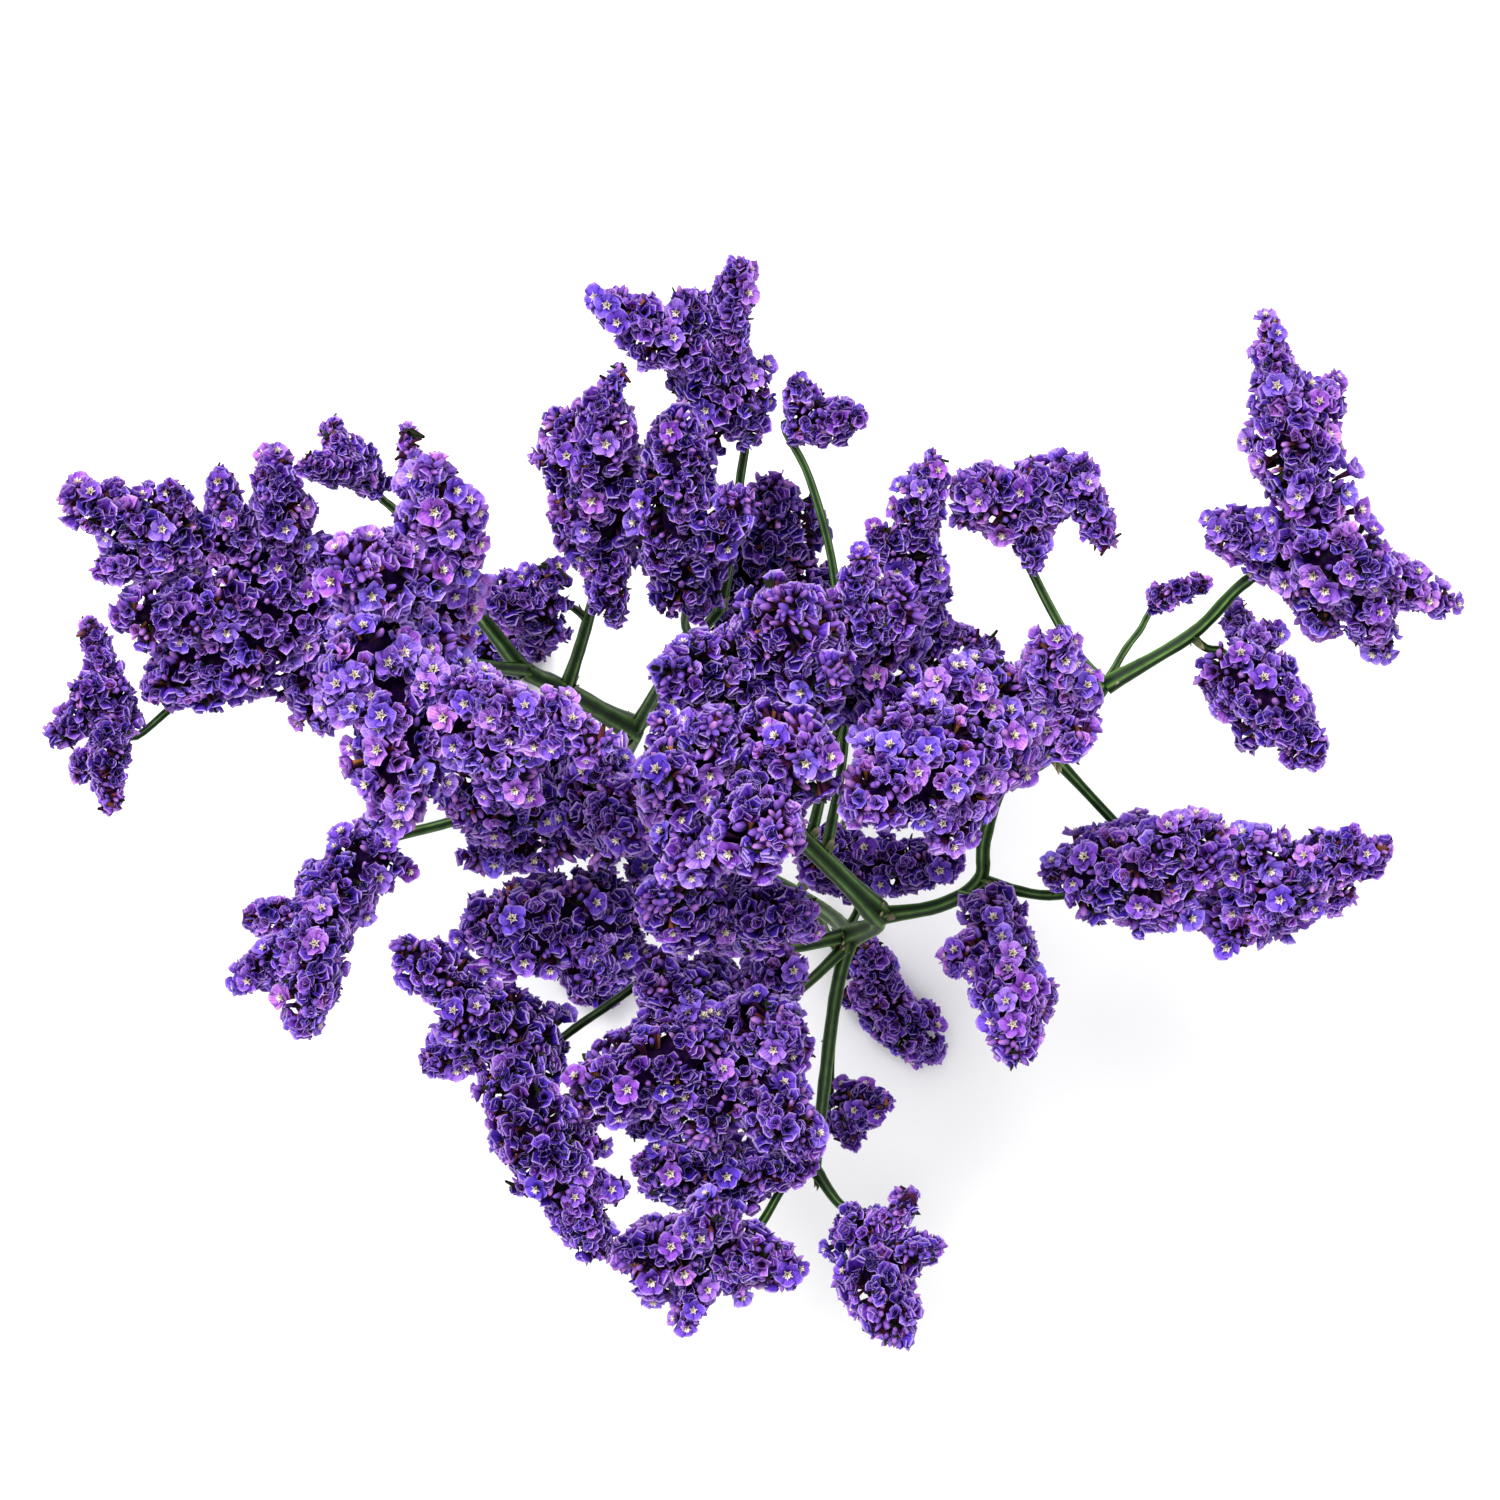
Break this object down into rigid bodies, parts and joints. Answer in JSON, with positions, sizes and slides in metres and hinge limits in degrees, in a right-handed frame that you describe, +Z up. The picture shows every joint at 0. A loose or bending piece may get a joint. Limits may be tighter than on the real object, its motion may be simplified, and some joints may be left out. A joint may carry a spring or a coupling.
{
  "type": "dried statice branch",
  "caption": "Cut branch of dried statice lying on its stem: forked green stem, wide head of violet papery flower sprays facing up.",
  "frame": {"origin": "middle of the branch's bounding box, on the surface that it lies on", "axes": "+Z up from the surface towards the flower heads; +X and +Y along the two sides of the picture, right and up"},
  "size_m": [0.2794, 0.2146, 0.1852],
  "materials": {
    "florets": "papery petals, violet to lilac with dark bases and cream middles",
    "stem": "dry dark green stem with pale ridges"
  },
  "bodies": {
    "root": {"stem": "stem", "spray_bottom": "florets", "spray_bottom_left": "florets", "spray_bottom_middle": "florets", "spray_bottom_right": "florets", "spray_centre_left": "florets", "spray_centre_lower": "florets", "spray_centre_near": "florets", "spray_centre_right": "florets", "spray_centre_upper": "florets", "spray_far_left": "florets", "spray_far_right": "florets", "spray_left": "florets", "spray_left_upper": "florets", "spray_low_left": "florets", "spray_low_middle": "florets", "spray_low_right": "florets", "spray_low_upper_left": "florets", "spray_low_upper_right": "florets", "spray_lower_centre_left": "florets", "spray_lower_left": "florets", "spray_lower_middle": "florets", "spray_lower_right": "florets", "spray_near_left": "florets", "spray_right": "florets", "spray_right_centre": "florets", "spray_right_lower": "florets", "spray_right_lower_tip": "florets", "spray_right_small": "florets", "spray_right_upper": "florets", "spray_right_upper_left": "florets", "spray_top": "florets", "spray_top_left": "florets", "spray_top_left_side": "florets", "spray_top_low": "florets", "spray_top_middle": "florets", "spray_top_right": "florets", "spray_under_centre": "florets"}
  },
  "joints": []
}
